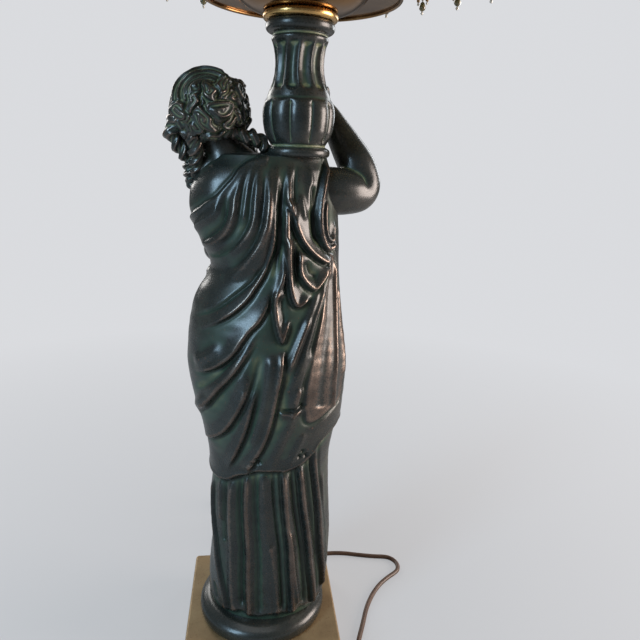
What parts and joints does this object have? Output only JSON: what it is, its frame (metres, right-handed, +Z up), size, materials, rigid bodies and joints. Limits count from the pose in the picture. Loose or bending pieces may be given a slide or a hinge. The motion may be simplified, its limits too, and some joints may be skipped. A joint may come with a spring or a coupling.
{
  "type": "figural table lamp",
  "caption": "Table lamp whose draped metal figure steadies an urn on one shoulder; the urn carries a brass dish, lampholder, harp and bead-fringed fabric shade.",
  "frame": {"origin": "middle of the underside of the felt pad under the square plinth", "axes": "+Z up, the figure's face and chest look towards -Y, its raised arm and the urn are on the -X side"},
  "size_m": [0.3476, 0.3638, 0.7237],
  "materials": {
    "felt": "matte felt",
    "plinth_gold": "aged flat gold paint, speckled",
    "iron": "rough",
    "steel": "zinc plated",
    "patina": "green-black patina over spelter, glossy, rubbed at the high spots",
    "brass_bright": "bright lacquered",
    "brass": "aged",
    "card": "waxed fibre",
    "bakelite": "semi-gloss",
    "bulb_insulator": "black glass",
    "cap_metal": "satin",
    "bulb_glass": "clear",
    "silk": "stretched silk",
    "braid": "woven gimp",
    "beads": "strung beads",
    "rubber_brown": "matte",
    "cord_brown": "satin",
    "tie_black": "matte",
    "plug_brown": "satin"
  },
  "bodies": {
    "stand": {"felt_pad": "felt", "square_plinth": "plinth_gold", "ballast_plate": "iron", "pipe_nut": "steel", "pipe_washer": "steel", "threaded_pipe": "steel", "figure_socle": "patina", "figure_skirt": "patina", "figure_torso": "patina", "head": "patina", "shoulder_urn": "patina", "neck_ring": "patina", "raised_arm": "patina", "left_forearm": "patina", "brass_collar": "brass_bright", "brass_dish": "brass", "dish_locknut": "brass", "harp_saddle": "brass", "harp": "brass", "socket_cap": "brass", "socket_shell": "brass", "socket_liner": "card", "socket_core": "bakelite", "terminal_screws": "brass", "screw_shell": "brass", "centre_contact": "brass", "cord_bushing": "rubber_brown", "inner_cord": "cord_brown", "cord_run": "cord_brown", "cord_tail": "cord_brown", "cord_coil": "cord_brown", "cord_tie": "tie_black", "plug_body": "plug_brown", "plug_blades": "brass"},
    "switch": {"switch_shaft": "brass", "switch_knob": "bakelite"},
    "bulb": {"bulb_tip": "bulb_insulator", "bulb_cap": "cap_metal", "bulb_glass": "bulb_glass", "bulb_stem": "bulb_glass"},
    "sleeve_left": {"harp_sleeve_left": "brass"},
    "sleeve_right": {"harp_sleeve_right": "brass"},
    "finial": {"finial": "brass"},
    "shade": {"shade_cover": "silk", "shade_hub": "brass", "shade_spider": "brass", "shade_bottom_ring": "steel", "shade_ribs": "steel", "bottom_braid": "braid", "top_braid": "braid", "bead_fringe": "beads"}
  },
  "joints": [
    {"name": "switch_turn", "type": "hinge", "parent": "stand", "child": "switch", "pos_m": [-0.021, -0.014, 0.5028], "axis": [0, -1, 0], "continuous": true},
    {"name": "bulb_turn", "type": "hinge", "parent": "stand", "child": "bulb", "pos_m": [-0.021, 0.006, 0.53], "axis": [0, 0, 1], "continuous": true},
    {"name": "shade_turn", "type": "hinge", "parent": "stand", "child": "shade", "pos_m": [-0.021, 0.006, 0.6885], "axis": [0, 0, 1], "continuous": true},
    {"name": "finial_turn", "type": "hinge", "parent": "stand", "child": "finial", "pos_m": [-0.021, 0.006, 0.7], "axis": [0, 0, 1], "continuous": true},
    {"name": "sleeve_left_lift", "type": "slide", "parent": "stand", "child": "sleeve_left", "axis": [0, 0, 1], "range_m": [0, 0.01]},
    {"name": "sleeve_right_lift", "type": "slide", "parent": "stand", "child": "sleeve_right", "axis": [0, 0, 1], "range_m": [0, 0.01]}
  ]
}
